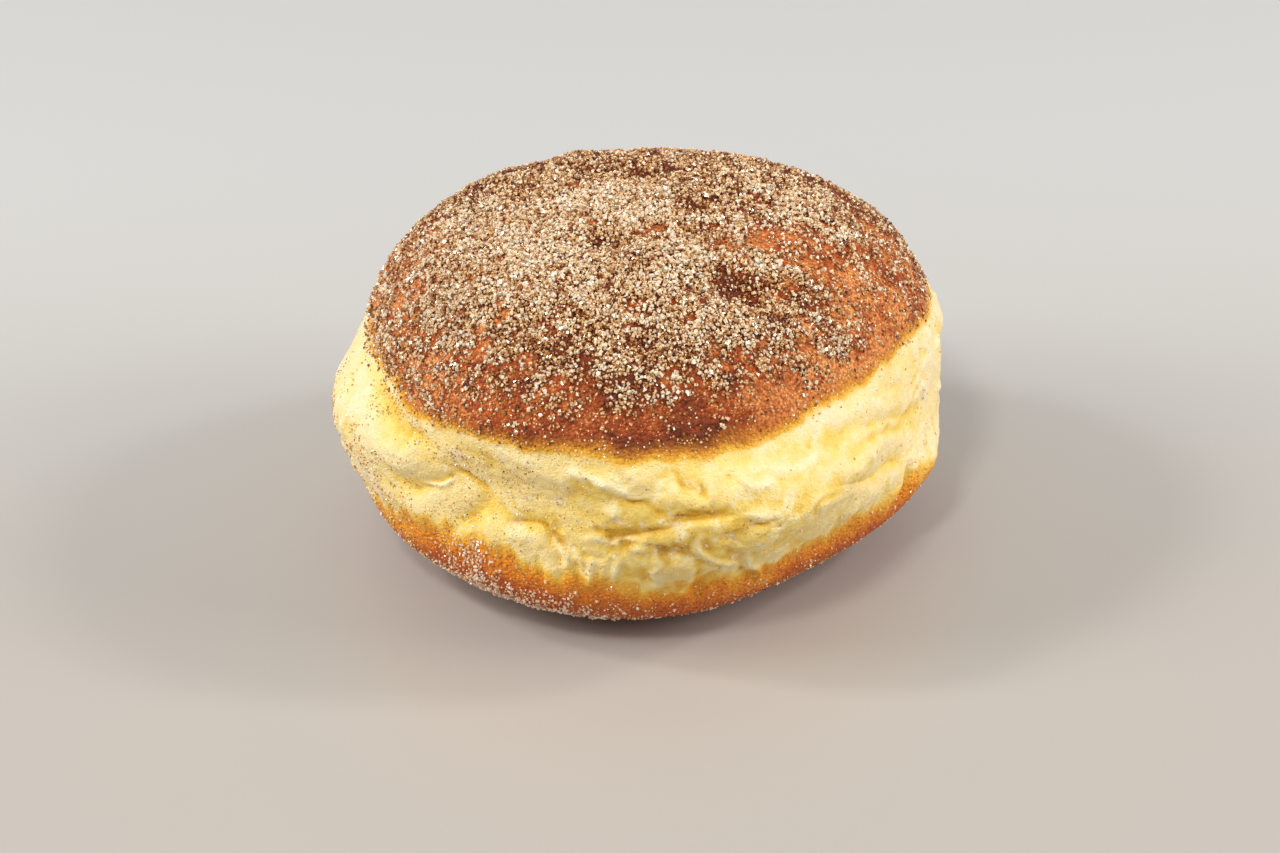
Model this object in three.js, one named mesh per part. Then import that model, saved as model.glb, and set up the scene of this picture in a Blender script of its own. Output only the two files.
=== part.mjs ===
// Jelly filled doughnut: a ball of yeast dough fried on one face and then on the other, and rolled in
// sugar. It is one solid, resting on a flat spot: a browned underside, a pale belt that never lay in the
// fat and so is full of folds, and a browned, dented cap. Millimetres, +Z up, the front faces -Y.
import * as THREE from "three";

// Driving sizes.
const height = 55;
const meanRadius = 47;
const restRadius = 23;
const undersideTop = 17.5;
const capStart = 27;

// How square the rounding is, across and up: 2 and 2 would be a quarter of an ellipse.
const undersideRounding = { across: 1.82, up: 2.36 };
const capRounding = { across: 3.39, up: 2.26 };

// The outlines seen from above. Each is a mean radius and its lobes: waves round, size, angle of a crest.
// Angles are in degrees from +X, counter-clockwise, so -90 is the front and 180 the left.
const undersideOutline = {
  radius: 44,
  lobes: [[1, 0.8, -4], [2, 0.8, 26], [3, 1.4, -7], [4, 1.8, 6]],
};
const capOutline = {
  radius: 46.5,
  lobes: [[1, 1.5, 43], [2, 1.8, 59], [3, 1.7, 21]],
};
const beltSwell = {
  radius: 1.5,
  lobes: [[1, 0.6, -61], [2, 0.8, -54], [3, 2.1, -58], [4, 2.2, 20]],
};

// Soft swellings of the side: angle, height, how far out, half-width round, half-width up.
const swellings = [
  [-168, 31, 0.8, 9, 5],
  [-141, 29.5, 1.3, 7, 3.6],
  [-139, 19.5, 0.8, 7, 2.6],
  [-119, 20.5, 1.2, 5, 3],
  [-101, 34, 0.9, 9, 2.4],
  [-70, 32.5, 0.7, 7, 2.6],
  [-82, 19, 0.8, 9, 2.8],
  [-41, 36.5, 0.6, 12, 2.6],
  [-45, 27.5, 0.8, 10, 2.6],
  [-38, 18.5, 1.0, 10, 2.6],
  [-12, 15, 0.9, 6, 3],
  [14, 31, 0.9, 9, 4],
  [34, 22, 1.0, 8, 3.4],
  [58, 30, 1.1, 8, 3.8],
  [83, 21, 0.9, 9, 3.2],
  [104, 32, 1.0, 9, 3.6],
  [128, 24, 1.1, 8, 3.6],
  [152, 32, 0.9, 8, 3.6],
  [172, 21, 0.9, 8, 3.2],
];

// Folds of the side: depth, half-width, and the way along it as angle and height.
const folds = [
  { depth: 1.0, width: 3.1, way: [[-163, 37.5], [-150, 35], [-143, 33], [-131, 33]] },
  { depth: 0.6, width: 2.9, way: [[-149, 22], [-137, 24.5], [-131, 27.4], [-124, 28]] },
  { depth: 0.5, width: 2.9, way: [[-124, 30], [-122.6, 25.3], [-126, 22.5], [-130, 18]] },
  { depth: 1.0, width: 2.8, way: [[-118, 23], [-111, 23.3], [-105, 21.5]] },
  { depth: 0.7, width: 2.9, way: [[-99, 31], [-90, 31.4], [-84, 29.6], [-76, 29], [-66, 30.5]] },
  { depth: 0.8, width: 2.8, way: [[-80, 29], [-87, 27], [-92, 25.5], [-99, 21.5]] },
  { depth: 0.7, width: 2.8, way: [[-78, 24.8], [-73, 26.8], [-67, 26.4]] },
  { depth: 0.8, width: 2.8, way: [[-90, 24.3], [-84, 22.4], [-77, 20.2]] },
  { depth: 0.5, width: 2.8, way: [[-58, 34], [-42, 32.4], [-34, 30.5], [-18, 26], [-6, 25]] },
  { depth: 0.6, width: 2.8, way: [[-64, 29], [-54, 28], [-37, 22.4], [-28, 21.5], [-20, 18.5]] },
  { depth: 0.9, width: 2.8, way: [[-21.5, 19.5], [-21, 15.7], [-24, 12]] },
  { depth: 0.9, width: 2.8, way: [[-77, 18.5], [-80, 10]] },
  { depth: 1.0, width: 3.1, way: [[2, 33], [14, 26], [28, 27], [42, 31]] },
  { depth: 0.9, width: 2.9, way: [[40, 19], [54, 24], [70, 25], [80, 27]] },
  { depth: 1.1, width: 3.1, way: [[66, 34.5], [82, 31], [92, 27], [106, 26]] },
  { depth: 0.9, width: 2.8, way: [[96, 27], [99, 21], [106, 17]] },
  { depth: 1.1, width: 3.1, way: [[112, 20], [124, 19.5], [138, 27], [152, 26]] },
  { depth: 0.9, width: 2.9, way: [[122, 33], [136, 35], [150, 37]] },
  { depth: 1.0, width: 3.1, way: [[158, 24], [170, 27], [182, 26], [192, 29]] },
];

// Dents (negative) and mounds of the top: x, y, how far up, half-width along x, half-width along y.
const dents = [
  [16.5, -20, -2.8, 7.5, 4],
  [29, -15, -0.8, 4, 3],
  [22, -29, 0.7, 9, 4],
  [27, -8, 0.8, 5, 4],
  [-4, -8, -2.2, 4.2, 3.2],
  [9, 4, -1.2, 3, 2.5],
  [1, -34.5, -0.8, 3.5, 1.8],
  [10, -5, -1.2, 4, 3],
  [3, -13, 0.8, 5, 3],
  [-4, -33, -0.8, 8, 4],
  [-20, -20, 0.7, 11, 8],
  [-27, 8, -0.7, 8, 8],
  [4, 17, -1.0, 7, 5],
  [22, 16, 0.6, 8, 7],
  [-12, 27, 0.6, 8, 6],
];

const radians = THREE.MathUtils.degToRad;
const smoothstep = THREE.MathUtils.smoothstep;

function outlineRadius(outline, angle) {
  return outline.lobes.reduce(
    (radius, [waves, size, crest]) => radius + size * Math.cos(waves * (angle - radians(crest))),
    outline.radius,
  );
}

// The radius of the side at an angle: the underside's outline low down, the cap's high up, and between
// them the mean of the two with the belt's swelling.
function sideRadius(angle, z) {
  const underside = outlineRadius(undersideOutline, angle);
  const cap = outlineRadius(capOutline, angle);
  const belt = (underside + cap) / 2 + outlineRadius(beltSwell, angle);
  const lowShare = 1 - smoothstep(z, 12, 27);
  const highShare = smoothstep(z, 27, 40);
  return underside * lowShare + cap * highShare + belt * (1 - lowShare - highShare);
}

function hill(across, halfWidth) {
  return Math.exp(-((across / halfWidth) ** 2));
}

// The distance round the side, in millimetres, from one angle to another the short way.
function alongSide(from, to) {
  const turn = to - from;
  return meanRadius * Math.atan2(Math.sin(turn), Math.cos(turn));
}

// How deep the fold is at a place on the side: a valley along its way, dying out at both ends, with a
// low roll of pushed-up dough on either side of it.
function foldDepth(fold, angle, z) {
  const way = fold.way.map(
    ([degrees, level]) => new THREE.Vector2(alongSide(angle, radians(degrees)), level - z),
  );
  const steps = way.length - 1;
  let nearest = Infinity;
  let along = 0;
  for (let i = 0; i < steps; i++) {
    const step = way[i + 1].clone().sub(way[i]);
    const share = THREE.MathUtils.clamp(-way[i].dot(step) / step.lengthSq(), 0, 1);
    const distance = way[i].clone().addScaledVector(step, share).length();
    if (distance < nearest) {
      nearest = distance;
      along = (i + share) / steps;
    }
  }
  const fade = smoothstep(Math.min(along, 1 - along), -0.12, 0.22);
  const valley = hill(nearest, fold.width) - 0.35 * hill(nearest - 2 * fold.width, fold.width);
  return fold.depth * fade * valley;
}

// The profile: the flat rest, the underside, the straight belt, then the cap up and in to the axis.
function profilePoints() {
  const points = [];
  const add = (share, z) => points.push(new THREE.Vector2(meanRadius * share, z));
  const restShare = restRadius / meanRadius;
  add(0, 0);
  add(restShare / 2, 0);
  const undersideRows = 11;
  for (let i = 0; i <= undersideRows; i++) {
    const turn = (i / undersideRows) * (Math.PI / 2);
    const out = Math.sin(turn) ** (2 / undersideRounding.across);
    const up = 1 - Math.cos(turn) ** (2 / undersideRounding.up);
    add(restShare + (1 - restShare) * out, undersideTop * up);
  }
  const beltRows = 7;
  for (let i = 1; i <= beltRows; i++) add(1, undersideTop + (i / beltRows) * (capStart - undersideTop));
  const capSideRows = 13;
  const capSideHeight = 18;
  for (let i = 1; i <= capSideRows; i++) {
    const rise = (i / capSideRows) * capSideHeight;
    const up = (rise / (height - capStart)) ** capRounding.up;
    add((1 - up) ** (1 / capRounding.across), capStart + rise);
  }
  const capTopRows = 14;
  const shoulder = points.at(-1).x / meanRadius;
  for (let i = 1; i <= capTopRows; i++) {
    const share = shoulder * (1 - i / capTopRows);
    const up = (1 - share ** capRounding.across) ** (1 / capRounding.up);
    add(share, capStart + (height - capStart) * up);
  }
  return points;
}

// One point of the turned ball, moved to where the dough is.
function shapePoint(point) {
  const share = Math.hypot(point.x, point.y) / meanRadius;
  const angle = Math.atan2(point.y, point.x);
  const onSide = smoothstep(share, 0.55, 0.85);
  let radius = share * sideRadius(angle, point.z);
  for (const [degrees, level, out, round, up] of swellings) {
    const across = hill(alongSide(angle, radians(degrees)), round);
    radius += onSide * out * across * hill(point.z - level, up);
  }
  for (const fold of folds) radius -= onSide * foldDepth(fold, angle, point.z);
  point.x = radius * Math.cos(angle);
  point.y = radius * Math.sin(angle);
  const onTop = smoothstep(point.z, 40, 50);
  for (const [x, y, up, wide, long] of dents) {
    point.z += onTop * up * hill(point.x - x, wide) * hill(point.y - y, long);
  }
  return point;
}

function doughnutGeometry() {
  const segmentsRound = 98;
  const geometry = new THREE.LatheGeometry(profilePoints(), segmentsRound);
  geometry.rotateX(Math.PI / 2);
  const positions = geometry.getAttribute("position");
  const point = new THREE.Vector3();
  for (let i = 0; i < positions.count; i++) {
    shapePoint(point.fromBufferAttribute(positions, i));
    positions.setXYZ(i, point.x, point.y, point.z);
  }
  geometry.computeBoundingBox();
  const middle = geometry.boundingBox.getCenter(new THREE.Vector3());
  geometry.translate(-middle.x, -middle.y, 0);
  geometry.computeVertexNormals();
  return geometry;
}

const crust = new THREE.MeshStandardMaterial({ color: 0xb8733c, roughness: 0.75, metalness: 0 });

const doughnut = new THREE.Mesh(doughnutGeometry(), crust);
doughnut.name = "doughnut";

const group = new THREE.Group();
group.add(doughnut);

export default group;
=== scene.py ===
import math
import random

import bpy
import numpy as np
from mathutils import Matrix, Vector, noise


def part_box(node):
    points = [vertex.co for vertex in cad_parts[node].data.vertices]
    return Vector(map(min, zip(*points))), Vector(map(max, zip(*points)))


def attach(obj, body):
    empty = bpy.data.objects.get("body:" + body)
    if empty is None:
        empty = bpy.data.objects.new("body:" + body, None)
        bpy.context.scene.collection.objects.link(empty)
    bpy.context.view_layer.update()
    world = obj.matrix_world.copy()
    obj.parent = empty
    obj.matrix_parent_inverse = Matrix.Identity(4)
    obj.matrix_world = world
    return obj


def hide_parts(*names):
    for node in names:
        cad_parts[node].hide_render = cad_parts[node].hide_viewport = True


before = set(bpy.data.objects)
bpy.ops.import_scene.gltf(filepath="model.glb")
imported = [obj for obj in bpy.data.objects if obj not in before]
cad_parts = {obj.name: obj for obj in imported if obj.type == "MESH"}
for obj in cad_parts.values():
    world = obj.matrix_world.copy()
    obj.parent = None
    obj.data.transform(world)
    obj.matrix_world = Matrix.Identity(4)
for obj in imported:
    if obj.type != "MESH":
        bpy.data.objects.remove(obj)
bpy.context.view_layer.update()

# --- The view ---------------------------------------------------------------------------------------
# A long lens a little above the doughnut, looking down at it as from a table's edge. It leans very
# slightly, so that the table's right side stands a touch higher.

lens_mm = 109.0
sensor_mm = 36.0
camera_place = Vector((-0.0004, -0.5441, 0.3198))
camera_target = Vector((-0.0004, -0.0020, 0.0189))
camera_lean = math.radians(-1.3)

camera_data = bpy.data.cameras.new("camera")
camera_data.lens = lens_mm
camera_data.sensor_width = sensor_mm
camera = bpy.data.objects.new("camera", camera_data)
upright = (camera_target - camera_place).to_track_quat("-Z", "Y").to_matrix()
camera.rotation_euler = (upright @ Matrix.Rotation(camera_lean, 3, "Z")).to_euler()
camera.location = camera_place
bpy.context.scene.collection.objects.link(camera)
bpy.context.scene.camera = camera

# --- The fried dough --------------------------------------------------------------------------------
# A ball of yeast dough, laid in hot fat on one face and then turned over. Both faces brown and set,
# and the belt between them never touches the fat: it stays pale, and its thin skin creases as it cools.
# Lengths here are in millimetres, angles in degrees from +X counter-clockwise: -90 is the front.

mm_per_metre = 1000.0
height = 55.0
mean_radius = 47.0
rest_radius = 23.0
underside_top = 17.5
cap_start = 27.0
underside_rounding = (1.82, 2.36)
cap_rounding = (3.39, 2.26)

# The outlines from above: a mean radius, and lobes as waves round, size and angle of a crest.
underside_outline = (44.0, ((1, 0.8, -4), (2, 0.8, 26), (3, 1.4, -7), (4, 1.8, 6)))
cap_outline = (46.5, ((1, 1.5, 43), (2, 1.8, 59), (3, 1.7, 21)))
belt_swell = (1.5, ((1, 0.6, -61), (2, 0.8, -54), (3, 2.1, -58), (4, 2.2, 20)))

# Soft swellings of the side: angle, height, how far out, half-width round, half-width up.
swellings = (
    (-168, 31, 0.8, 9, 5),
    (-141, 29.5, 1.3, 7, 3.6),
    (-139, 19.5, 0.8, 7, 2.6),
    (-119, 20.5, 1.2, 5, 3),
    (-101, 34, 0.9, 9, 2.4),
    (-70, 32.5, 0.7, 7, 2.6),
    (-82, 19, 0.8, 9, 2.8),
    (-41, 36.5, 0.6, 12, 2.6),
    (-45, 27.5, 0.8, 10, 2.6),
    (-38, 18.5, 1.0, 10, 2.6),
    (-12, 15, 0.9, 6, 3),
    (14, 31, 0.9, 9, 4),
    (34, 22, 1.0, 8, 3.4),
    (58, 30, 1.1, 8, 3.8),
    (83, 21, 0.9, 9, 3.2),
    (104, 32, 1.0, 9, 3.6),
    (128, 24, 1.1, 8, 3.6),
    (152, 32, 0.9, 8, 3.6),
    (172, 21, 0.9, 8, 3.2),
)

# Folds of the side: depth, half-width above the crease, half-width below it, and the way along it as
# angle and height.
folds = (
    (1.0, 1.5, 2.6, ((-163, 37.5), (-150, 35), (-143, 33), (-131, 33))),
    (0.6, 2.4, 1.2, ((-149, 22), (-137, 24.5), (-131, 27.4), (-124, 28))),
    (0.5, 1.6, 1.6, ((-124, 30), (-122.6, 25.3), (-126, 22.5), (-130, 18))),
    (1.0, 2.2, 1.0, ((-118, 23), (-111, 23.3), (-105, 21.5))),
    (0.7, 1.8, 1.1, ((-99, 31), (-90, 31.4), (-84, 29.6), (-76, 29), (-66, 30.5))),
    (0.8, 1.9, 1.1, ((-80, 29), (-87, 27), (-92, 25.5), (-99, 21.5))),
    (0.7, 1.2, 1.6, ((-78, 24.8), (-73, 26.8), (-67, 26.4))),
    (0.8, 1.4, 1.0, ((-90, 24.3), (-84, 22.4), (-77, 20.2))),
    (0.5, 1.4, 1.8, ((-58, 34), (-42, 32.4), (-34, 30.5), (-18, 26), (-6, 25))),
    (0.6, 1.4, 1.0, ((-64, 29), (-54, 28), (-37, 22.4), (-28, 21.5), (-20, 18.5))),
    (0.9, 1.0, 1.0, ((-21.5, 19.5), (-21, 15.7), (-24, 12))),
    (0.9, 1.2, 1.2, ((-77, 18.5), (-80, 10))),
    (1.0, 1.6, 2.2, ((2, 33), (14, 26), (28, 27), (42, 31))),
    (0.9, 2.0, 1.2, ((40, 19), (54, 24), (70, 25), (80, 27))),
    (1.1, 1.6, 2.2, ((66, 34.5), (82, 31), (92, 27), (106, 26))),
    (0.9, 1.2, 1.4, ((96, 27), (99, 21), (106, 17))),
    (1.1, 2.2, 1.2, ((112, 20), (124, 19.5), (138, 27), (152, 26))),
    (0.9, 1.6, 1.8, ((122, 33), (136, 35), (150, 37))),
    (1.0, 1.8, 1.4, ((158, 24), (170, 27), (182, 26), (192, 29))),
)

# Sharp little crests (positive) and creases of the skin: how high, half-width, and the way along it.
wrinkles = [
    (0.9, 1.0, ((-105, 35.9), (-99, 35.5), (-97, 34.4), (-93, 33.0), (-89, 31.8))),
    (1.0, 0.7, ((-80, 27.6), (-80, 23.8), (-78, 21.1), (-75, 19.2), (-71, 17.3))),
    (0.9, 0.7, ((-72, 22.3), (-68, 15.5), (-65, 12.5), (-65, 9.6))),
    (0.8, 0.7, ((-88, 25.8), (-88, 22.0), (-87, 20.1), (-88, 17.9), (-87, 13.6))),
    (0.8, 0.8, ((-103, 23.0), (-99, 24.0), (-95, 23.5), (-94, 24.4), (-89, 24.6))),
    (0.7, 0.7, ((-99, 20.8), (-100, 16.9), (-101, 13.6))),
    (0.7, 0.7, ((-94, 21.6), (-95, 17.7), (-95, 15.2))),
    (0.8, 1.0, ((-73, 29.8), (-69, 28.4), (-65, 26.5))),
    (0.9, 0.7, ((-138, 25.3), (-134, 25.3), (-129, 28.0))),
    (0.9, 0.7, ((-108, 22.9), (-105, 19.2), (-105, 16.4))),
    (0.6, 0.8, ((-119, 27.2), (-116, 24.8), (-113, 23.9))),
    (0.8, 0.8, ((-73, 35.2), (-70, 32.7), (-65, 31.8))),
    (0.6, 0.7, ((-85, 35.6), (-83, 33.2))),
    (0.6, 0.7, ((-78, 34.6), (-78, 31.0))),
    (0.7, 1.0, ((-67, 33.8), (-62, 33.2), (-50, 32.7))),
    (-0.6, 0.7, ((-94, 22.9), (-91, 23.9), (-88, 23.8))),
    (-0.5, 0.8, ((-103, 21.9), (-100, 20.9), (-97, 20.6))),
    (-0.5, 0.8, ((-80, 33.4), (-77, 30.6))),
    (-0.6, 0.9, ((-131, 29.2), (-127, 28.7), (-122, 26.4))),
    (-0.6, 0.8, ((-112, 18.2), (-109, 14.4))),
    (-0.6, 0.8, ((-103, 19.4), (-102, 14.6))),
    (-0.7, 0.8, ((-45, 31.0), (-34, 28.7), (-20, 24.4))),
    (-0.9, 0.9, ((-80, 21.0), (-79, 11.8))),
    (-0.5, 0.8, ((-57, 22.4), (-57, 26.8), (-49, 25.1))),
]
# More of them are laid at random round the sides and the back.
chance = random.Random(5)
random_wrinkles = 75
for _ in range(random_wrinkles):
    start, level = chance.uniform(-18, 200), chance.uniform(17, 34)
    turn, climb = chance.uniform(-7, 7), chance.uniform(-5, 5)
    bend = chance.uniform(-1.5, 1.5)
    rise, half_width = chance.choice((0.8, 0.6, -0.6)), chance.uniform(0.7, 1.0)
    halfway = (start + turn / 2, level + climb / 2 + bend)
    wrinkles.append((rise, half_width, ((start, level), halfway, (start + turn, level + climb))))

# The slack skin's crumples, from the largest down: size of a flat along x, y and z, depth, and a seed.
crumples = (
    ((12, 12, 9), 0.7, 4.0),
    ((6.5, 6.5, 4.6), -0.7, 2.0),
    ((3.6, 3.6, 2.8), 0.6, 6.6),
    ((1.9, 1.9, 1.6), -0.4, 9.9),
)
pleat_grain = (2.4, 2.4, 9)

# Dents (negative) and mounds of the cap: x, y, how far up, half-width along x, half-width along y.
dents = (
    (16.5, -20, -2.8, 7.5, 4.0),
    (29, -15, -0.8, 4, 3),
    (22, -29, 0.7, 9, 4),
    (27, -8, 0.8, 5, 4),
    (-4, -8, -2.2, 4.2, 3.2),
    (9, 4, -1.2, 3, 2.5),
    (1, -34.5, -0.8, 3.5, 1.8),
    (10, -5, -1.2, 4, 3),
    (3, -13, 0.8, 5, 3),
    (-4, -33, -0.8, 8, 4),
    (-20, -20, 0.7, 11, 8),
    (-27, 8, -0.7, 8, 8),
    (4, 17, -1.0, 7, 5),
    (22, 16, 0.6, 8, 7),
    (-12, 27, 0.6, 8, 6),
)


def smoothstep(low, high, value):
    """0 below low, 1 above high, and a soft rise between them."""
    share = np.clip((value - low) / (high - low), 0, 1)
    return share * share * (3 - 2 * share)


def hill(across, half_width):
    """1 in the middle, falling away softly on both sides."""
    return np.exp(-((across / half_width) ** 2))


def outline_radius(outline, angle):
    radius, lobes = outline
    swells = (size * np.cos(waves * (angle - math.radians(crest))) for waves, size, crest in lobes)
    return radius + sum(swells)


def side_radius(angle, z):
    """The side's radius, which goes from the underside's outline through the belt's to the cap's."""
    underside = outline_radius(underside_outline, angle)
    cap = outline_radius(cap_outline, angle)
    belt = (underside + cap) / 2 + outline_radius(belt_swell, angle)
    low_share = 1 - smoothstep(12, 27, z)
    high_share = smoothstep(27, 40, z)
    return underside * low_share + cap * high_share + belt * (1 - low_share - high_share)


def along_side(start, end):
    """Millimetres along the side from one angle to another, the short way round."""
    turn = end - start
    return mean_radius * np.arctan2(np.sin(turn), np.cos(turn))


def hill_round(angle, degrees, half_width):
    """1 where the side faces that way, and less and less the further round it is from there."""
    return hill(along_side(angle, math.radians(degrees)), half_width)


def patchy(points, grain, octaves=2, seed=0.0):
    """Soft noise from -1 to 1 at each point; grain is the size of its lumps along x, y and z."""
    scaled = points / np.asarray(grain, float) + seed
    return np.array([noise.fractal(Vector(p), 1.0, 2.0, octaves) for p in scaled])


def profile_rows():
    """The profile as share of the radius and height, from the flat rest out, up and in to the axis."""
    rest_share = rest_radius / mean_radius
    steps_in_a_quarter = 400
    turn = np.linspace(0, math.pi / 2, steps_in_a_quarter)
    across, up = underside_rounding
    under_share = rest_share + (1 - rest_share) * np.sin(turn) ** (2 / across)
    under_z = underside_top * (1 - np.cos(turn) ** (2 / up))
    across, up = cap_rounding
    cap_share = np.cos(turn) ** (2 / across)
    cap_z = cap_start + (height - cap_start) * np.sin(turn) ** (2 / up)
    share = np.concatenate(([0], under_share, cap_share[:-1], [0]))
    z = np.concatenate(([0], under_z, cap_z[:-1], [height]))
    steps = np.hypot(np.diff(share) * mean_radius, np.diff(z))
    middle = (z[1:] + z[:-1]) / 2
    fine = smoothstep(4, 9, middle) * (1 - smoothstep(41, 46, middle))
    spacing = 0.9 - 0.5 * fine - 0.15 * smoothstep(45, 50, middle)
    spacing_under_rest = 4.0
    spacing[0] = spacing_under_rest
    row = np.concatenate(([0], np.cumsum(steps / spacing)))
    wanted = np.linspace(0, row[-1], int(row[-1]) + 1)
    return np.interp(wanted, row, share), np.interp(wanted, row, z)


def ring_counts(share, z):
    """How many points each ring has: fine round the belt, halved again and again towards the axis."""
    fewest = 13
    most = fewest * 64
    closest_mm = 0.34
    counts = []
    for s, level in zip(share, z):
        wanted = most if 6 < level < 43 else most // 2
        while wanted > fewest and 2 * math.pi * s * mean_radius / wanted < closest_mm:
            wanted //= 2
        counts.append(wanted)
    counts[0] = counts[-1] = 1
    for order in (range(1, len(counts)), range(len(counts) - 2, -1, -1)):
        for i in order:
            neighbour = counts[i - 1] if order.step > 0 else counts[i + 1]
            if neighbour > 1:
                counts[i] = min(counts[i], neighbour * 2)
    counts[0] = counts[-1] = 1
    return counts


def ring_faces(counts):
    """Faces from each ring to the next, which has as many points, half or double as many, or one."""
    faces = []
    start = 0
    for low, high in zip(counts[:-1], counts[1:]):
        lower = lambda i: start + i % low
        upper = lambda i: start + low + i % high
        if low == high:
            faces += [(lower(i), lower(i + 1), upper(i + 1), upper(i)) for i in range(low)]
        elif low == 1:
            faces += [(start, upper(i + 1), upper(i)) for i in range(high)]
        elif high == 1:
            faces += [(lower(i), lower(i + 1), start + low) for i in range(low)]
        elif low == 2 * high:
            for i in range(high):
                faces.append((lower(2 * i), lower(2 * i + 1), upper(i)))
                faces.append((lower(2 * i + 1), upper(i + 1), upper(i)))
                faces.append((lower(2 * i + 1), lower(2 * i + 2), upper(i + 1)))
        else:
            for i in range(low):
                faces.append((upper(2 * i + 1), upper(2 * i), lower(i)))
                faces.append((upper(2 * i + 1), lower(i), lower(i + 1)))
                faces.append((upper(2 * i + 2), upper(2 * i + 1), lower(i + 1)))
        start += low
    return faces


def smooth_way(way, steps=8):
    """A smooth line through the stops of a fold's way, in radians and millimetres."""
    stops = np.array(way, float)
    stops[:, 0] = np.radians(stops[:, 0])
    padded = np.vstack((2 * stops[0] - stops[1], stops, 2 * stops[-1] - stops[-2]))
    line = []
    for i in range(1, len(padded) - 2):
        before, here, there, after = padded[i - 1 : i + 3]
        for t in np.arange(steps) / steps:
            line.append(
                0.5 * (2 * here + (there - before) * t
                       + (2 * before - 5 * here + 4 * there - after) * t**2
                       + (3 * here - before - 3 * there + after) * t**3)
            )
    line.append(stops[-1])
    return np.array(line)


def fold_relief(fold, angle, z):
    """How deep the fold cuts at each place, and how far its rolls lean over the crease: two arrays."""
    depth, above, below, way = fold
    line = smooth_way(way)
    reach = 4 * max(above, below) + 2
    depths = np.zeros(len(z))
    leans = np.zeros(len(z))
    middle = (line[0, 0] + line[-1, 0]) / 2
    span = mean_radius * np.ptp(line[:, 0]) / 2 + reach
    level_near = (z > line[:, 1].min() - reach) & (z < line[:, 1].max() + reach)
    near = np.flatnonzero((np.abs(along_side(middle, angle)) < span) & level_near)
    round_by = along_side(angle[near, None], line[None, :, 0])
    up_by = line[None, :, 1] - z[near, None]
    step_round = np.diff(round_by, axis=1)
    step_up = np.diff(up_by, axis=1)
    length = step_round**2 + step_up**2
    share = np.clip(-(round_by[:, :-1] * step_round + up_by[:, :-1] * step_up) / length, 0, 1)
    off_round = round_by[:, :-1] + share * step_round
    off_up = up_by[:, :-1] + share * step_up
    distance = np.hypot(off_round, off_up)
    nearest = distance.argmin(1)
    rows = np.arange(len(near))
    distance = distance[rows, nearest]
    along = (nearest + share[rows, nearest]) / (len(line) - 1)
    is_above = smoothstep(-0.3, 0.3, -off_up[rows, nearest])
    width = below + (above - below) * is_above
    fade = smoothstep(-0.05, 0.3, np.minimum(along, 1 - along))
    valley = np.exp(-((distance / width) ** 1.5)) - 0.3 * hill(distance - 2 * width, width)
    depths[near] = depth * fade * valley
    leans[near] = 0.4 * depth * fade * (1 - 2 * is_above) * hill(distance - 0.7 * width, 0.8 * width)
    return depths, leans


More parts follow.
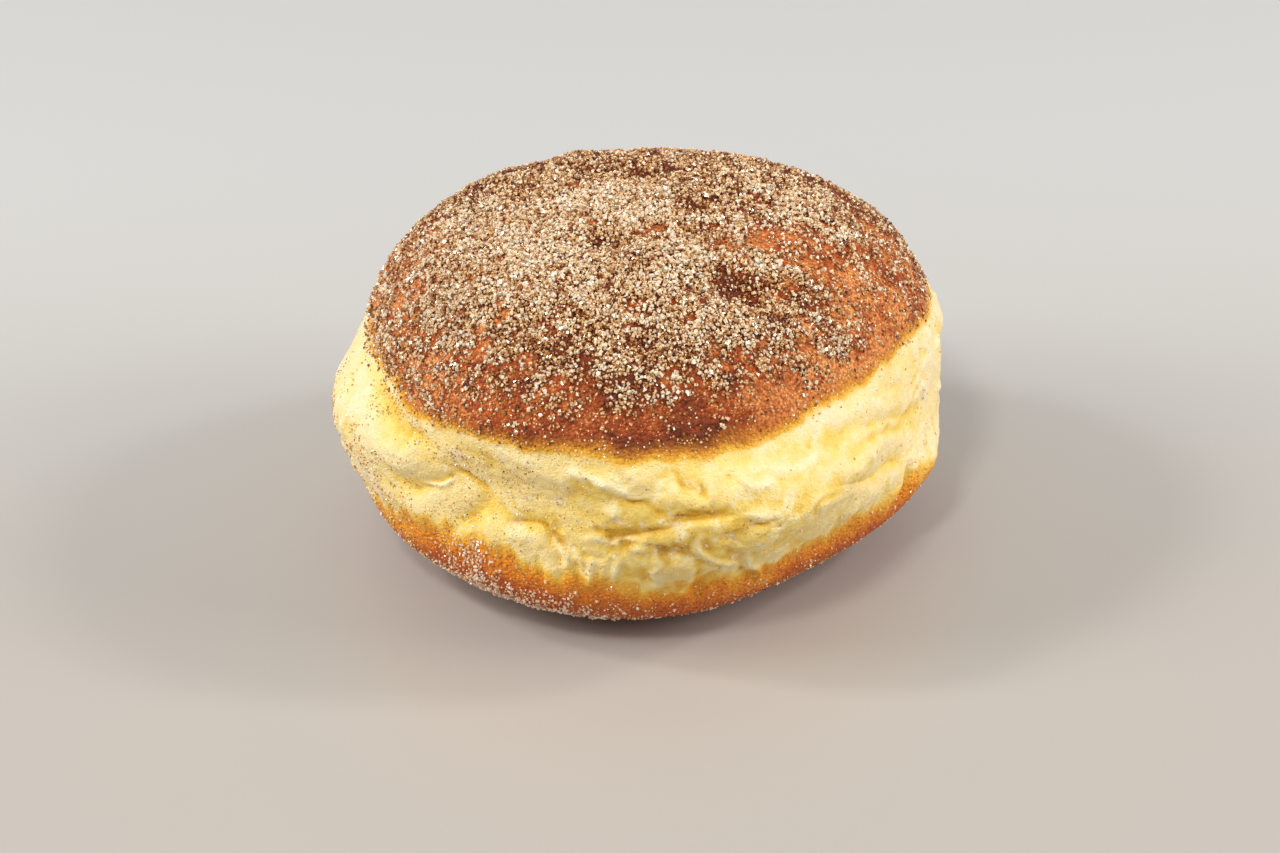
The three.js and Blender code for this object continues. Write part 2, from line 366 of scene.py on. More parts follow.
def dough_surface():
    """The dough's points in millimetres, its faces, and where its skin is hollow or in a crest."""
    share, z = profile_rows()
    counts = ring_counts(share, z)
    angle = np.concatenate([np.arange(n) * 2 * math.pi / n for n in counts])
    share = np.repeat(share, counts)
    z = np.repeat(z, counts)
    ball = np.stack((share * mean_radius * np.cos(angle), share * mean_radius * np.sin(angle), z), 1)

    on_side = smoothstep(0.55, 0.85, share)
    on_belt = on_side * smoothstep(9, 16, z) * (1 - smoothstep(34, 39, z))
    side = np.flatnonzero(on_side > 0)
    belt = np.flatnonzero(on_belt > 0)

    # The creases wander a little, so the place that they are looked up at does.
    sway = np.zeros((len(z), 2))
    sway[side, 0] = patchy(ball[side], 5, 2, 3.1) * 0.7
    sway[side, 1] = patchy(ball[side], 5, 2, 8.7) * 0.7
    fold_angle = angle + sway[:, 0] / mean_radius
    fold_z = z + sway[:, 1]

    radius = share * side_radius(angle, z)
    for degrees, level, out, round_width, up_width in swellings:
        facing = hill_round(angle, degrees, round_width)
        radius += on_side * out * facing * hill(z - level, up_width)
    creases = np.zeros(len(z))
    lean = np.zeros(len(z))
    for fold in folds:
        depths, leans = fold_relief(fold, fold_angle, fold_z)
        creases += on_side * depths
        lean += on_side * leans
    crests = np.zeros(len(z))
    for rise, half_width, way in wrinkles:
        thin = 0.7 * half_width
        rises, _ = fold_relief((rise, thin, thin, way), fold_angle, fold_z)
        crests += on_side * rises

    # The slack skin between the folds: flats that meet at sharp ridges and creases, large and small.
    crumple = np.zeros(len(z))
    warped = ball[belt] + 2.2 * np.stack([patchy(ball[belt], 7, 2, s) for s in (1.3, 5.9, 9.2)], 1)
    for grain, depth, seed in crumples:
        crumple[belt] += depth * (np.abs(patchy(warped, grain, 1, seed)) - 0.2)
    slack = np.zeros(len(z))
    slack[belt] = 0.35 + 0.45 * smoothstep(-0.3, 0.4, patchy(ball[belt], 14, 1, 6.3))
    slack = np.maximum(slack, hill_round(angle, -85, 26))
    crumple = on_belt * slack * crumple
    # Pleats, where the browned underside drew the skin together.
    pleats = np.zeros(len(z))
    pleats[side] = patchy(ball[side], pleat_grain, 2, 7.7)
    crumple += 0.4 * on_side * hill(z - 16.5, 4.5) * pleats

    crumple += 0.6 * crests
    radius += crumple - creases
    points = np.stack((radius * np.cos(angle), radius * np.sin(angle), z + lean), 1)

    on_top = smoothstep(40, 50, z)
    for x, y, up, wide, deep in dents:
        points[:, 2] += on_top * up * hill(points[:, 0] - x, wide) * hill(points[:, 1] - y, deep)
    lumps = 0.55 * patchy(points, 9, 2, 2.2) + 0.3 * patchy(points, 3.5, 2, 4.4)
    points[:, 2] += on_top * lumps
    on_shoulder = smoothstep(35, 40, z) * (1 - on_top)
    points[:, :2] += (ball[:, :2] / mean_radius) * (on_shoulder * lumps)[:, None]
    # How deep each place lies in a crease or between crumples; the finish paints it deeper gold there as
    # painted shade.
    hollow = np.clip(0.7 * creases - 1.1 * crumple + 0.1, 0, 1)
    return points, ring_faces(counts), angle, z, hollow, np.clip(1.4 * crests, 0, 1)


# Where the pale belt starts to brown towards the cap and towards the underside, as angle and height,
# and how many millimetres each takes to brown through.
cap_edge_stops = (
    (187, 37.4), (208, 36.8), (217, 35.2), (228, 36.0), (239, 36.6), (248, 36.6), (256, 37.2),
    (264, 37.0), (271, 36.4), (279, 36.6), (287, 36.6), (296, 36.4), (307, 36.6), (320, 36.8),
    (336, 37.0), (349, 36.6), (2, 35.4), (30, 36.6), (60, 35.6), (90, 37.0), (120, 36.2), (150, 37.0),
)
underside_edge_stops = (
    (198, 15.9), (206, 16.7), (214, 17.5), (225, 18.7), (233, 19.8), (239, 19.1), (246, 17.7),
    (254, 17.4), (263, 16.7), (270, 14.4), (278, 15.6), (287, 15.8), (296, 14.4), (306, 16.5),
    (319, 15.8), (332, 17.2), (341, 17.0), (350, 15.8), (20, 16.5), (45, 18.0), (70, 15.5),
    (95, 17.5), (120, 15.2), (150, 17.8), (180, 15.6),
)
cap_fade = 4.0
underside_fade = 9.0


def edge_line(stops, angle):
    """A height that goes smoothly round the doughnut through the stops, each an angle and a height."""
    degrees, heights = np.array(sorted(stops)).T
    return np.interp(np.degrees(angle) % 360, degrees, heights, period=360)


def keep_on_points(mesh, values):
    """Stores each named list of values on the mesh's points, where the finishes read them."""
    for name, value in values.items():
        kept = mesh.attributes.new(name, "FLOAT", "POINT")
        kept.data.foreach_set("value", value.astype(np.float32))


def make_dough():
    """The dough, centred on its CAD shape, with how brown or painted in shade, how hollow and how buttery
    it is at each point.
    """
    points, faces, angle, z, hollow, crest = dough_surface()
    low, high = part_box("doughnut")
    centre = (points.min(0) + points.max(0)) / 2
    points[:, 0] += (low.x + high.x) / 2 * mm_per_metre - centre[0]
    points[:, 1] += (low.y + high.y) / 2 * mm_per_metre - centre[1]
    mesh = bpy.data.meshes.new("dough")
    mesh.from_pydata((points / mm_per_metre).tolist(), [], faces)
    mesh.update()

    ragged = 0.8 * patchy(points, 4, 3, 1.1) + 0.7 * patchy(points, 11, 1, 7.2)
    cap_edge = edge_line(cap_edge_stops, angle) + ragged
    pleated = patchy(points, pleat_grain, 2, 7.7)
    underside_edge = edge_line(underside_edge_stops, angle) + 1.2 + 1.4 * ragged - 2.2 * pleated

    # Painted light and shade on the cap: its crust is painted deepest at its front rim, which the side
    # lights
    # # reach least, and palest at its left and right front, where they fall. It is also deeper brown
    # behind, and browns unevenly.
    front_rim = hill_round(angle, -92, 28) * (0.35 + 0.65 * hill(points[:, 2] - 38, 3.5))
    rim_shading_and_browning = 1.4 * front_rim + 0.45 * hill_round(angle, 95, 45)
    rim_shading_and_browning -= 0.4 * hill_round(angle, -150, 26)
    rim_shading_and_browning += 0.15 - 0.5 * hill_round(angle, -38, 22) + 0.35 * patchy(points, 9, 2, 6.1)
    butter = hill_round(angle, -86, 34) + 0.6 * hill_round(angle, 80, 50)
    values = {
        "browned_and_shaded": np.clip(0.3 + 0.4 * rim_shading_and_browning, 0, 1),
        "cap_browning": np.clip((points[:, 2] - cap_edge) / cap_fade, 0, 1),
        "underside_browning": np.clip((underside_edge - points[:, 2]) / underside_fade, 0, 1),
        "hollow": hollow,
        "crest": crest,
        "buttery": butter * hill(points[:, 2] - 25, 11),
    }
    keep_on_points(mesh, values)
    mesh.shade_smooth()
    dough = bpy.data.objects.new("dough", mesh)
    bpy.context.scene.collection.objects.link(dough)
    return dough, points


class Number:
    """A number on its way through a tree of nodes, so that its maths reads as a plain expression."""

    def __init__(self, tree, socket):
        self.tree = tree
        self.socket = socket

    def maths(self, operation, first, second, clamp=False):
        node = self.tree.nodes.new("ShaderNodeMath")
        node.operation = operation
        node.use_clamp = clamp
        for place, value in enumerate((first, second)):
            if isinstance(value, Number):
                self.tree.links.new(value.socket, node.inputs[place])
            else:
                node.inputs[place].default_value = value
        return Number(self.tree, node.outputs[0])

    def __add__(self, other):
        return self.maths("ADD", self, other)

    def __sub__(self, other):
        return self.maths("SUBTRACT", self, other)

    def __rsub__(self, other):
        return self.maths("SUBTRACT", other, self)

    def __mul__(self, other):
        return self.maths("MULTIPLY", self, other)

    __radd__ = __add__
    __rmul__ = __mul__

    def clamped(self):
        return self.maths("ADD", self, 0.0, clamp=True)


class Nodes:
    """A tree of nodes. node() makes any one of them: its settings come first, then its sockets."""

    def __init__(self, tree):
        self.tree = tree
        self.tree.nodes.clear()

    def node(self, kind, settings=None, sockets=None, stops=None):
        made = self.tree.nodes.new(kind)
        for name, value in (settings or {}).items():
            setattr(made, name, value)
        if stops:
            ramp = made.color_ramp
            while len(ramp.elements) < len(stops):
                ramp.elements.new(0.5)
            for element, (place, colour) in zip(ramp.elements, stops):
                element.position = place
                element.color = (*colour, 1)
        self.fill(made, sockets or {})
        return made

    def fill(self, made, sockets):
        """Gives a node's sockets their values or links."""
        for key, value in sockets.items():
            if isinstance(value, Number):
                value = value.socket
            if isinstance(value, bpy.types.NodeSocket):
                self.tree.links.new(value, made.inputs[key])
            else:
                made.inputs[key].default_value = value

    def number(self, socket):
        return Number(self.tree, socket)


class Finish(Nodes):
    """A material's nodes, and the few patterns that the doughnut's finishes share."""

    def __init__(self, name):
        self.material = bpy.data.materials.new(name)
        self.material.use_nodes = True
        super().__init__(self.material.node_tree)

    def attribute(self, name):
        return self.number(self.node("ShaderNodeAttribute", {"attribute_name": name}).outputs["Fac"])

    def place(self):
        return self.node("ShaderNodeTexCoord").outputs["Object"]

    def grain(self, scale, detail, roughness=0.55):
        """Noise from 0 to 1 with lumps of about 1/scale of a metre."""
        sockets = {"Vector": self.place(), "Scale": scale, "Detail": detail, "Roughness": roughness}
        return self.number(self.node("ShaderNodeTexNoise", None, sockets).outputs["Fac"])

    def ridges(self, scale, detail):
        """Sharp ridges between flats, the largest about 1/scale of a metre apart."""
        settings = {"noise_type": "RIDGED_MULTIFRACTAL", "normalize": True}
        sockets = {"Vector": self.place(), "Scale": scale, "Detail": detail}
        sockets.update({"Roughness": 0.5, "Distortion": 0.6})
        return self.number(self.node("ShaderNodeTexNoise", settings, sockets).outputs["Fac"])

    def cells(self, scale):
        """0 in the middle of each cell, more towards its walls; cells are 1/scale of a metre wide."""
        sockets = {"Vector": self.place(), "Scale": scale}
        return self.number(self.node("ShaderNodeTexVoronoi", None, sockets).outputs["Distance"])

    def range(self, value, low, high, to_low=0.0, to_high=1.0):
        """A soft step: to_low where the value is low, to_high where it is high."""
        settings = {"interpolation_type": "SMOOTHSTEP"}
        sockets = {"Value": value, "From Min": low, "From Max": high}
        sockets.update({"To Min": to_low, "To Max": to_high})
        return self.number(self.node("ShaderNodeMapRange", settings, sockets).outputs[0])

    def ramp(self, value, stops):
        return self.node("ShaderNodeValToRGB", None, {"Fac": value}, stops).outputs["Color"]

    def mix(self, share, first, second):
        """The first colour where the share is 0, the second where it is 1; srgb() may give either."""
        first, second = ((*c, 1) if isinstance(c, tuple) else c for c in (first, second))
        sockets = {0: share, 6: first, 7: second}
        return self.node("ShaderNodeMix", {"data_type": "RGBA"}, sockets).outputs[2]

    def bump(self, height, distance, strength=1.0, under=None):
        sockets = {"Height": height, "Distance": distance, "Strength": strength}
        if under:
            sockets["Normal"] = under
        return self.node("ShaderNodeBump", None, sockets).outputs["Normal"]

    def finished(self, sockets):
        shader = self.node("ShaderNodeBsdfPrincipled", None, sockets)
        output = self.node("ShaderNodeOutputMaterial")
        self.tree.links.new(shader.outputs[0], output.inputs["Surface"])
        return self.material


def srgb(red, green, blue):
    """A colour on the eye's scale of 0 to 255, turned into the shader's linear one."""
    return tuple(((v / 255 + 0.055) / 1.055) ** 2.4 for v in (red, green, blue))


def dough_finish():
    """Pale glossy skin on the belt; dry browned crust, redder on the cap and more golden underneath."""
    finish = Finish("fried dough")

    # The patterns, from the finest to the broadest.
    downy = finish.grain(3000, 3)
    pores = finish.cells(1800)
    fine = finish.grain(1400, 4)
    wrinkled = finish.ridges(190, 5)
    broad = finish.grain(170, 3)
    blotches = finish.grain(45, 2)
    specks = finish.range(finish.cells(3000), 0.4, 0.15)
    # Painted glints in the middles of the crust's pores, and painted shade between them.
    glints = finish.range(pores, 0.3, 0.12)
    shaded_gaps = finish.range(pores, 0.42, 0.65)

    cap = finish.attribute("cap_browning")
    underside = finish.attribute("underside_browning")
    buttery = finish.attribute("buttery")
    crust = finish.range(cap + underside, 0.0, 0.6)
    uneven = (fine - 0.5) * 0.35 + (broad - 0.5) * 0.25

    # The skin: painted paler cream where it stands up, as painted highlight, and deeper gold in its
    # hollows,
    # # as painted shade; more gold too where it is buttery, and at random.
    golden_and_shading = finish.attribute("hollow") * 0.95 + buttery * 0.42 + (blotches - 0.5) * 0.4
    golden_and_shading = golden_and_shading + 0.08 - finish.range(wrinkled, 0.2, 0.9) * 0.4 + (fine - 0.5) * 0.3
    skin = finish.ramp(golden_and_shading.clamped(), (
        (0.0, srgb(247, 231, 198)),
        (0.2, srgb(248, 225, 164)),
        (0.5, srgb(248, 216, 116)),
        (0.8, srgb(238, 194, 76)),
        (1.0, srgb(214, 164, 44)),
    ))
    # Painted highlights: pale specks on the raised skin, pale patches where it is buttery, and pale lines
    # along its crests.
    raised = finish.range(wrinkled + (fine - 0.5) * 0.8 + (broad - 0.5) * 0.6, 0.3, 0.6)
    skin = finish.mix(finish.range(pores, 0.4, 0.65) * 0.07, skin, srgb(236, 196, 92))
    highlight_patches = finish.range(finish.grain(300, 4, 0.7), 0.5, 0.66) * (buttery * 0.7 + 0.2)
    crest_highlights = finish.attribute("crest") * (fine * 1.6 - 0.3)
    painted_highlights = (specks * raised * 0.8 + highlight_patches * 0.7 + crest_highlights * 0.7).clamped()
    skin = finish.mix(painted_highlights, skin, srgb(255, 250, 220))

    # The cap's crust: browner where cinnamon marked it, painted deeper at its front rim, between the
    # grains
    # # and in its hollows as painted shade, and paler at its left and right front as painted light.
    stain_and_shade = finish.attribute("browned_and_shaded") + finish.attribute("cap_stain_and_shade") * 0.65
    stain_and_shade = stain_and_shade + (broad - 0.5) * 0.9 + (fine - 0.5) * 0.7 + (blotches - 0.5) * 0.4
    browned_and_shaded = finish.ramp(stain_and_shade.clamped(), (
        (0.0, srgb(255, 186, 110)),
        (0.35, srgb(242, 148, 74)),
        (0.6, srgb(184, 80, 12)),
        (0.85, srgb(120, 44, 0)),
        (1.0, srgb(96, 34, 0)),
    ))
    cap_edge = finish.ramp((cap + uneven * cap).clamped(), (
        (0.0, srgb(250, 218, 112)),
        (0.25, srgb(244, 184, 56)),
        (0.5, srgb(218, 138, 34)),
        (1.0, srgb(192, 106, 32)),
    ))
    cap_colour = finish.mix(finish.range(cap + uneven, 0.35, 0.95), cap_edge, browned_and_shaded)
    # Painted glints with a pale sugar dust on the crust, fewer where it is deeper brown or shaded; then
    # painted shade between the pores.
    glints_and_dust = (glints * (1.0 - stain_and_shade * 1.2) * cap).clamped()
    cap_colour = finish.mix(glints_and_dust, cap_colour, srgb(255, 204, 154))
    cap_colour = finish.mix(shaded_gaps * cap * 0.5, cap_colour, srgb(120, 52, 18))

    # The underside's crust, which goes from gold to orange-brown.
    underside_colour = finish.ramp((underside + uneven * underside * 1.4).clamped(), (
        (0.0, srgb(252, 228, 130)),
        (0.2, srgb(247, 200, 84)),
        (0.4, srgb(246, 166, 36)),
        (0.65, srgb(250, 144, 30)),
        (1.0, srgb(216, 92, 4)),
    ))
    # Painted glints in the underside's pores, and painted shade between them.
    shine = glints * underside * 0.28
    underside_colour = finish.mix(shine, underside_colour, srgb(255, 198, 120))
    underside_colour = finish.mix(shaded_gaps * underside * 0.45, underside_colour, srgb(132, 66, 16))

    colour = finish.mix(finish.range(cap, 0.0, 0.25), skin, cap_colour)
    colour = finish.mix(finish.range(underside, 0.0, 0.25), colour, underside_colour)
    roughness = finish.range(crust + (broad - 0.5) * 0.3, 0.0, 1.0, 0.42, 0.5) - buttery * 0.22
    relief = finish.bump(pores * crust, 0.0004, 1.0)
    relief = finish.bump(wrinkled * (1 - crust * 0.8), 0.0005, 0.6, relief)
    relief = finish.bump(fine * (crust * 0.45 + 0.55), 0.0006, 0.8, relief)
    relief = finish.bump(specks * (1.0 - crust), 0.0003, 0.25, relief)
    relief = finish.bump(downy, 0.0003, 0.7, relief)
    return finish.finished({
        "Base Color": colour,
        "Roughness": roughness,
        "Normal": relief,
        "Specular IOR Level": 0.35,
        "Subsurface Weight": 0.12,
        "Subsurface Radius": (1.0, 0.6, 0.25),
        "Subsurface Scale": 0.001,
        "IOR": 1.45,
    })


dough, dough_points = make_dough()
dough.data.materials.append(dough_finish())

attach(dough, "root")
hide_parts("doughnut")

# --- The sugar --------------------------------------------------------------------------------------
# Granulated sugar and ground cinnamon, which the hot doughnut was rolled in. The grains lie one or two
# deep on the cap, thin out over its shoulder, and cling here and there to the belt and the underside.

# Spots of the cap: x, y, how much more sugar, how much paler, half-width along x and along y.
# # Negative paleness paints shade into the cap's hollows: browner crust and more dark, cinnamon-marked
# grains.
sugar_spots = (
    (-16, -13, 0.35, 0.10, 14, 12),
    (-21, 2, 0.30, 0.05, 7, 8),
    (-6, 14, 0.25, 0.10, 9, 6),
    (0, 0, 0.30, 0.50, 4, 3.5),
    (-6, 7, 0.20, 0.30, 4, 3),
    (-1, -28, 0.30, 0.45, 4, 3),
    (2, -22, 0.20, 0.30, 3, 3),
    (8, -17, 0.30, 0.35, 4.5, 3),
    (16, -28, 0.35, 0.40, 6, 2.5),
    (3, -12, 0.25, 0.25, 4, 2.5),
    (19, -13, 0.20, 0.40, 5, 2.2),
    (-5, -8, -0.15, -0.80, 3.5, 3.2),
    (-3, -11, -0.15, -0.60, 2.5, 2),
    (9, 4, -0.25, -0.80, 3, 2.5),
    (10, 10, -0.20, -0.50, 3, 2.5),
    (9, -5, -0.10, -0.60, 2.5, 2.5),
    (14, -17, -0.75, -0.70, 3.5, 2.2),
    (15, -21.5, -0.80, -0.80, 4, 2.2),
    (19, -24.5, -0.60, -0.80, 3, 1.6),
    (25, -18, -0.65, -0.60, 3.5, 2.2),
    (25, -7, -1.60, 0.00, 6.5, 4),
    (30, -11, -0.80, 0.00, 3.5, 3),
    (12, -9, -0.50, -0.10, 3, 2),
    (2, -5, -0.45, 0.00, 4, 1.6),
    (0, -36.5, 0.25, 0.10, 13, 3.5),
    (1, -34.5, -0.25, -0.60, 2.5, 1.6),
    (-12, -33.5, -0.25, -0.50, 3, 2),
    (-26, 1, -0.30, -0.10, 3, 5),
    (2, 18, -0.30, -0.40, 6, 4),
)


def cover_cap(points):
    """How thickly the grains lie on the cap, the share that is cinnamon-marked or painted dark as shade,
    and the crust's cinnamon mark with painted shade beneath and between them.
    """
    x, y, z = points.T
    angle = np.arctan2(y, x)
    reach = np.hypot(x - 1, y + 5.5) / 37.5 + 0.12 * patchy(points, 6, 3, 3.3)
    thick = np.full(len(x), 0.86)
    pale = np.zeros(len(x))
    for at_x, at_y, more, paler, wide, deep in sugar_spots:
        here = hill(x - at_x, wide) * hill(y - at_y, deep)
        thick += 1.2 * more * here
        pale += 1.4 * paler * here
    pale -= 0.5 * smoothstep(6, 24, y)
    thick -= 0.1 * smoothstep(10, 26, y)
    bare_edge = hill_round(angle, -46, 27) * smoothstep(0.78, 0.90, reach)
    thick *= (1 - smoothstep(0.84, 1.04, reach)) * (z > 40) * (1 - 0.93 * bare_edge)
    bare_shoulder = hill_round(angle, -40, 25) * smoothstep(0.9, 1.0, reach)
    bare_front = hill_round(angle, -86, 34) * (1 - smoothstep(41, 45, z))
    bare = np.clip(0.95 * bare_shoulder + bare_front, 0, 0.97)
    thin = (0.32 + 0.2 * hill_round(angle, -150, 30)) * smoothstep(36, 40, z) * (1 - bare)
    clumps = 1 + 1.1 * patchy(points, 2.2, 3, 9.1) + 0.35 * patchy(points, 7, 1, 3.6)
    cover = np.clip(np.maximum(thick, thin) * clumps, 0, 1)
    # Grains are cinnamon-marked at random, and more of them are dark in the hollows as painted shade.
    stain_and_shade = np.clip(0.43 - pale + 0.5 * patchy(points, 5, 2, 4.4), 0.05, 1)
    # The crust's mark deepens where the sugar lies thick, as painted shade between the grains, and in the
    # hollows.
    return cover, stain_and_shade, np.clip(cover - 1.3 * np.minimum(pale, 0), 0, 1.5)


def cover_low(points):
    """Grains caught on the underside: a strip along its left and front, a patch above it, strays."""
    x, y, z = points.T
    angle = np.arctan2(y, x)
    strip = hill(z - 6, 4.5) * hill_round(angle, -121, 17)
    patch = 1.3 * hill(z - 14, 4) * hill_round(angle, -127, 4.5)
    behind = 0.5 * hill(z - 8, 5) * hill_round(angle, 75, 30)
    strays = 0.006 * (z < 30) + 0.06 * (z < 5)
    clumps = 1 + 0.9 * patchy(points, 2.4, 2, 4.9)
    return np.clip((0.85 * strip + 0.7 * patch + behind + strays) * clumps * (z > 0.5), 0, 1)


def cover_belt(points, in_front):
    """Fine dust: most on the belt's left, some on its right and behind, and all over the crust."""
    x, y, z = points.T
    angle = np.arctan2(y, x)
    left = hill_round(angle, -152, 30)
    top_left = 2.0 * hill_round(angle, -128, 12) * hill(z - 34, 3.5)
    run = 0.9 * hill_round(angle, -128, 7) * hill(z - 22, 9)
    left = np.maximum(np.maximum(1.1 * left, top_left), run)
    right = 0.06 * hill_round(angle, -14, 14)
    behind = 0.4 * hill_round(angle, 85, 36)
    patch = smoothstep(-0.4, 0.5, patchy(points, 5, 2, 5.5))
    crust = 0.3 * (1 - smoothstep(8, 14, z)) + 0.45 * smoothstep(36, 39, z) * (z < 50)
    front = in_front * hill_round(angle, -82, 30) * hill(z - 28, 9)
    return np.clip((left + right + behind + front) * patch + crust + 0.004, 0, 1)


cap_cover, stain_and_shade_share, cap_stain_and_shade = cover_cap(dough_points)
off_cap = 1 - 0.9 * cap_cover
keep_on_points(dough.data, {
    "cap_cover": cap_cover,
    "white_cover": cap_cover * (1 - stain_and_shade_share) * smoothstep(0.1, 0.6, cap_cover),
    "stain_and_shade_cover": cap_cover * np.clip(0.3 + stain_and_shade_share, 0, 1),
    "cap_stain_and_shade": cap_stain_and_shade,
    "low_cover": cover_low(dough_points),
    "belt_cover": cover_belt(dough_points, in_front=0.15) * off_cap,
    "speck_cover": cover_belt(dough_points, in_front=0.03) * off_cap,
})


def grain_tree():
    """Scatters one kind of grain over the dough: blocks with chipped corners, turned every way.

    The lowest and highest that a grain stands off the dough are in sizes of that grain.
    """
    tree = bpy.data.node_groups.new("grains", "GeometryNodeTree")
    lengths = ("Closest", "Smallest", "Largest", "Lowest", "Highest", "Chipped")
    wanted = {"Dough": "Geometry", "Cover": "String", "Grains a square metre": "Float"}
    wanted.update(dict.fromkeys(lengths, "Float"))
    wanted.update({"Seed": "Int", "Finish": "Material"})
    for name, kind in wanted.items():
        tree.interface.new_socket(name=name, in_out="INPUT", socket_type="NodeSocket" + kind)
    tree.interface.new_socket(name="Grains", in_out="OUTPUT", socket_type="NodeSocketGeometry")
    board = Nodes(tree)
    given = board.node("NodeGroupInput").outputs

    def drawn(kind, low, high, seed):
        """A number or vector drawn between low and high, afresh for each grain."""
        node = board.node("FunctionNodeRandomValue", {"data_type": kind})
        lowest, highest, result = (0, 1, 0) if kind == "FLOAT_VECTOR" else (2, 3, 1)
        shifted = board.node("ShaderNodeMath", {"operation": "ADD"}, {0: given["Seed"], 1: seed})
        board.fill(node, {lowest: low, highest: high, "Seed": shifted.outputs[0]})
        return node.outputs[result]

    def scaled(vector, factor):
        settings = {"operation": "SCALE"}
        return board.node("ShaderNodeVectorMath", settings, {0: vector, "Scale": factor}).outputs[0]

    # Where the grains lie: closest together where the cover is thickest.
    settings = {"data_type": "FLOAT"}
    named = board.node("GeometryNodeInputNamedAttribute", settings, {"Name": given["Cover"]})
    cover = named.outputs[0]
    settings = {"distribute_method": "POISSON"}
    spread = board.node("GeometryNodeDistributePointsOnFaces", settings, {
        "Mesh": given["Dough"],
        "Distance Min": given["Closest"],
        "Density Max": given["Grains a square metre"],
        "Density Factor": cover,
        "Seed": given["Seed"],
    })

    # How big each is, and how far it stands off the dough, which is further in a heap.
    size = drawn("FLOAT", given["Smallest"], given["Largest"], 1)
    heap = board.node("ShaderNodeMapRange", None, {
        "Value": cover, "From Min": 0.2, "From Max": 0.9, "To Min": 0.25, "To Max": 1.0,
    })
    rise = board.number(drawn("FLOAT", given["Lowest"], given["Highest"], 2))
    rise = rise * board.number(size) * board.number(heap.outputs[0])
    lifted = board.node("GeometryNodeSetPosition", None, {
        "Geometry": spread.outputs["Points"],
        "Offset": scaled(spread.outputs["Normal"], rise.socket),
    })

    # A block for each, turned any way and longer on one side than another.
    block = board.node("GeometryNodeMeshCube", None, {"Size": (1, 1, 1)}).outputs["Mesh"]
    full_turn = (6.28, 6.28, 6.28)
    spin = drawn("FLOAT_VECTOR", (0, 0, 0), full_turn, 3)
    turn = board.node("FunctionNodeEulerToRotation", None, {0: spin})
    sides = scaled(drawn("FLOAT_VECTOR", (0.65, 0.6, 0.5), (1.1, 1.0, 0.85), 4), size)
    placed = board.node("GeometryNodeInstanceOnPoints", None, {
        "Points": lifted.outputs[0], "Instance": block, "Rotation": turn.outputs[0], "Scale": sides,
    })
    settings = {"data_type": "FLOAT", "domain": "INSTANCE"}
    tinted = board.node("GeometryNodeStoreNamedAttribute", settings, {
        "Geometry": placed.outputs[0], "Name": "tint", "Value": drawn("FLOAT", 0.0, 1.0, 5),
    })

    # One mesh of them all, with each corner knocked a little out of place.
    joined = board.node("GeometryNodeRealizeInstances", None, {"Geometry": tinted.outputs[0]}).outputs[0]
    chip = scaled(drawn("FLOAT_VECTOR", (-1, -1, -1), (1, 1, 1), 6), given["Chipped"])
    chipped = board.node("GeometryNodeSetPosition", None, {"Geometry": joined, "Offset": chip}).outputs[0]
    sockets = {"Geometry": chipped, "Material": given["Finish"]}
    finished = board.node("GeometryNodeSetMaterial", None, sockets)
    board.node("NodeGroupOutput", None, {0: finished.outputs[0]})
    return tree


grains = grain_tree()


def scatter(name, **sizes):
    """One kind of grain as one plain mesh, from the tree above with these inputs."""
    holder = bpy.data.objects.new(name + "_holder", dough.data)
    bpy.context.scene.collection.objects.link(holder)
    modifier = holder.modifiers.new("grains", "NODES")
    modifier.node_group = grains
    inputs = [item for item in grains.interface.items_tree if item.in_out == "INPUT"]
    identifiers = {item.name: item.identifier for item in inputs}
    for key, value in sizes.items():
        modifier[identifiers[key.replace("_", " ")]] = value
    graph = bpy.context.evaluated_depsgraph_get()
    mesh = bpy.data.meshes.new_from_object(holder.evaluated_get(graph), depsgraph=graph)
    bpy.data.objects.remove(holder)
    mesh.name = name
    piece = bpy.data.objects.new(name, mesh)
    bpy.context.scene.collection.objects.link(piece)
    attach(piece, "root")


def crystal_finish(name, stops, roughness, see_through, shine):
    """Grains that each have a tone of their own, from the first stop to the last, streaked within by
    painted light: near-white like facet glints and amber like the crust seen through them.
    """
    finish = Finish(name)
    tint = finish.attribute("tint")
    # Painted glints and see-through: streaks that shift each grain's tone towards white or amber.
    glint_streaks = finish.grain(3200, 2)
    colour = finish.ramp((tint * 0.7 + 0.15 + (glint_streaks - 0.5) * 2.6).clamped(), stops)
    return finish.finished({
        "Base Color": colour,
        "Roughness": finish.range(glint_streaks, 0.3, 0.7, roughness, roughness + 0.2),
        "Transmission Weight": see_through,
        "IOR": 1.54,
        "Specular IOR Level": shine,
    })


white_sugar = crystal_finish("white sugar", (
    (0.0, srgb(255, 252, 240)),
    (0.5, srgb(255, 236, 202)),
    (0.8, srgb(240, 192, 130)),
    (1.0, srgb(190, 124, 66)),
), roughness=0.05, see_through=0.2, shine=1.0)
honey_sugar = crystal_finish("honey sugar", (
    (0.0, srgb(255, 248, 218)),
    (0.4, srgb(240, 194, 126)),
    (0.75, srgb(186, 118, 58)),
    (1.0, srgb(104, 54, 20)),
), roughness=0.08, see_through=0.15, shine=0.9)
cinnamon_sugar = crystal_finish("cinnamon sugar", (
    (0.0, srgb(212, 140, 74)),
    (0.5, srgb(144, 74, 30)),
    (1.0, srgb(58, 26, 10)),
), roughness=0.12, see_through=0.15, shine=0.8)
rosy_sugar = crystal_finish("rosy sugar", (
    (0.0, srgb(255, 246, 230)),
    (0.5, srgb(255, 224, 188)),
    (1.0, srgb(238, 182, 130)),
), roughness=0.08, see_through=0.2, shine=0.9)
powdery_sugar = crystal_finish("fine sugar", (
    (0.0, srgb(255, 250, 226)),
    (0.5, srgb(246, 204, 128)),
    (1.0, srgb(188, 116, 54)),
), roughness=0.1, see_through=0.15, shine=0.9)
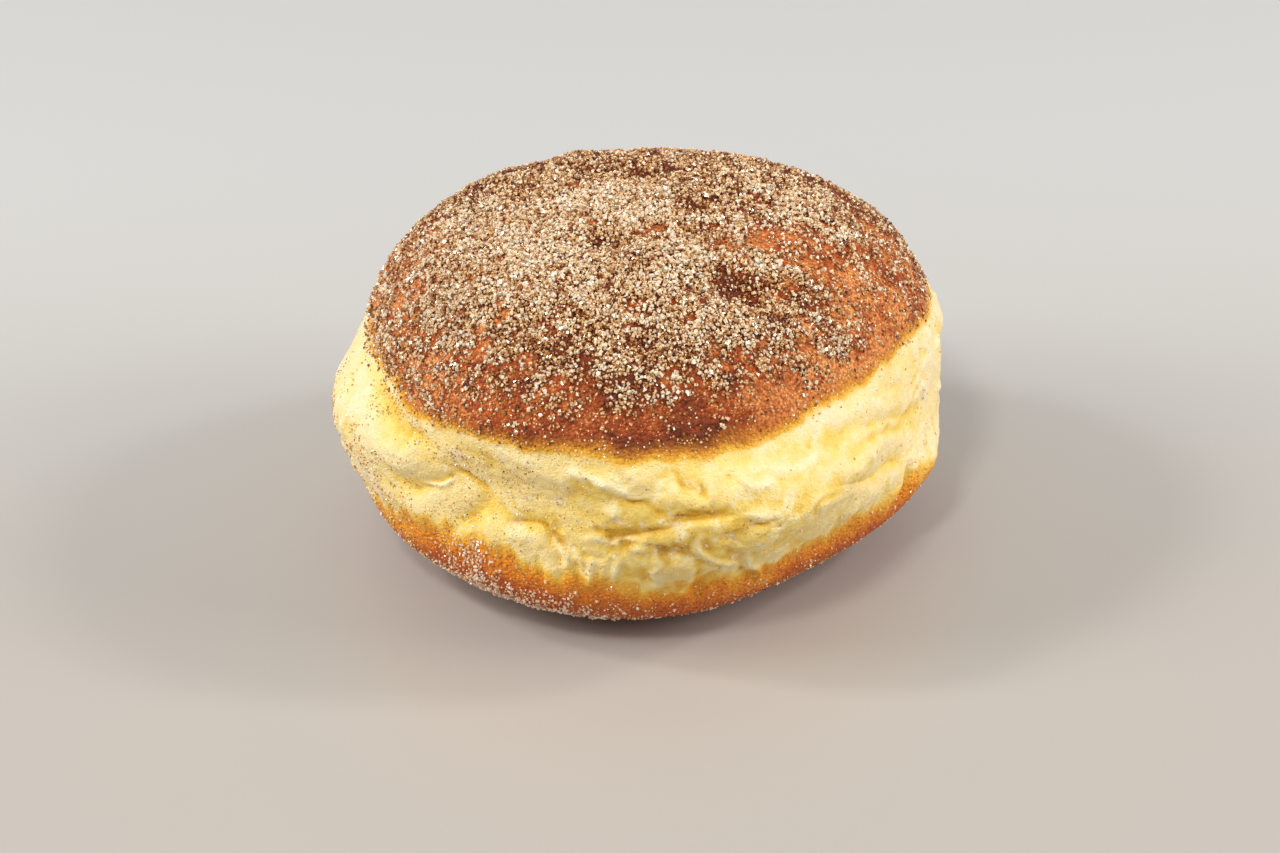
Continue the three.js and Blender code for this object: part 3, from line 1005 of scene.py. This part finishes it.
cinnamon = crystal_finish("ground cinnamon", (
    (0.0, srgb(206, 118, 44)),
    (0.5, srgb(140, 72, 26)),
    (1.0, srgb(70, 34, 16)),
), roughness=0.7, see_through=0.0, shine=0.1)

# The three kinds on the cap, then the underside's, then the dust on the belt and the crust.
million = 1e6
scatter("white_crystals", Cover="white_cover", Finish=white_sugar, Seed=11,
        Grains_a_square_metre=10 * million, Closest=0.00038, Smallest=0.0003, Largest=0.00064,
        Lowest=0.3, Highest=1.5, Chipped=0.00007)
scatter("honey_crystals", Cover="cap_cover", Finish=honey_sugar, Seed=23,
        Grains_a_square_metre=6 * million, Closest=0.00036, Smallest=0.0003, Largest=0.0006,
        Lowest=0.0, Highest=0.9, Chipped=0.00007)
scatter("cinnamon_crystals", Cover="stain_and_shade_cover", Finish=cinnamon_sugar, Seed=47,
        Grains_a_square_metre=8 * million, Closest=0.00034, Smallest=0.00025, Largest=0.0005,
        Lowest=-0.1, Highest=0.6, Chipped=0.00006)
scatter("low_crystals", Cover="low_cover", Finish=rosy_sugar, Seed=29,
        Grains_a_square_metre=6 * million, Closest=0.0004, Smallest=0.00025, Largest=0.00052,
        Lowest=0.0, Highest=0.9, Chipped=0.00006)
scatter("fine_sugar", Cover="belt_cover", Finish=powdery_sugar, Seed=37,
        Grains_a_square_metre=2.6 * million, Closest=0.00035, Smallest=0.00013, Largest=0.00034,
        Lowest=0.0, Highest=0.4, Chipped=0.00003)
scatter("cinnamon_specks", Cover="speck_cover", Finish=cinnamon, Seed=41,
        Grains_a_square_metre=0.8 * million, Closest=0.0004, Smallest=0.00008, Largest=0.00022,
        Lowest=0.0, Highest=0.3, Chipped=0.00002)

# --- The room ---------------------------------------------------------------------------------------
# A pale matt table top with a painted fall of light: dimmer at the front and brighter towards the back.
# # Broad soft lights stand on both sides, and three small ones make the sugar and the skin glint.

floor_reach = 3
floor_mesh = bpy.data.meshes.new("floor")
corners = [(x * floor_reach, y * floor_reach, 0) for x, y in ((-1, -1), (1, -1), (1, 1), (-1, 1))]
floor_mesh.from_pydata(corners, [], [(0, 1, 2, 3)])
floor = bpy.data.objects.new("floor", floor_mesh)
bpy.context.scene.collection.objects.link(floor)
floor_finish = Finish("table top")
floor_depth = floor_finish.node("ShaderNodeSeparateXYZ", None, {0: floor_finish.place()}).outputs["Y"]
# Painted light: the floor's colour brightens from front to back.
painted_light_share = floor_finish.range(floor_finish.number(floor_depth), -0.08, 0.16)
floor_colour = floor_finish.mix(painted_light_share, srgb(176, 171, 166), srgb(194, 195, 195))
floor_mesh.materials.append(floor_finish.finished({"Base Color": floor_colour, "Roughness": 0.5}))


def soft_light(name, place, size, power):
    """A warm square light that faces the doughnut."""
    data = bpy.data.lights.new(name, "AREA")
    data.size = size
    data.energy = power
    data.color = (1.0, 0.96, 0.9)
    light = bpy.data.objects.new(name, data)
    light.location = place
    light.rotation_euler = (Vector((0, 0, 0.02)) - Vector(place)).to_track_quat("-Z", "Y").to_euler()
    bpy.context.scene.collection.objects.link(light)


soft_light("left light", (-1.0, -0.15, 0.62), 0.5, 6.6)
soft_light("right light", (1.0, -0.2, 0.5), 0.5, 6.3)
soft_light("left glint", (-0.85, 0.05, 0.85), 0.16, 3.4)
soft_light("right glint", (0.9, 0.05, 0.75), 0.16, 3.4)
soft_light("front glint", (-0.3, -0.8, 1.1), 0.2, 5.8)
world = bpy.data.worlds.new("room")
world.use_nodes = True
background = world.node_tree.nodes["Background"]
background.inputs["Color"].default_value = (1, 1, 1, 1)
background.inputs["Strength"].default_value = 0.42
bpy.context.scene.world = world
bpy.context.scene.view_settings.view_transform = "Standard"
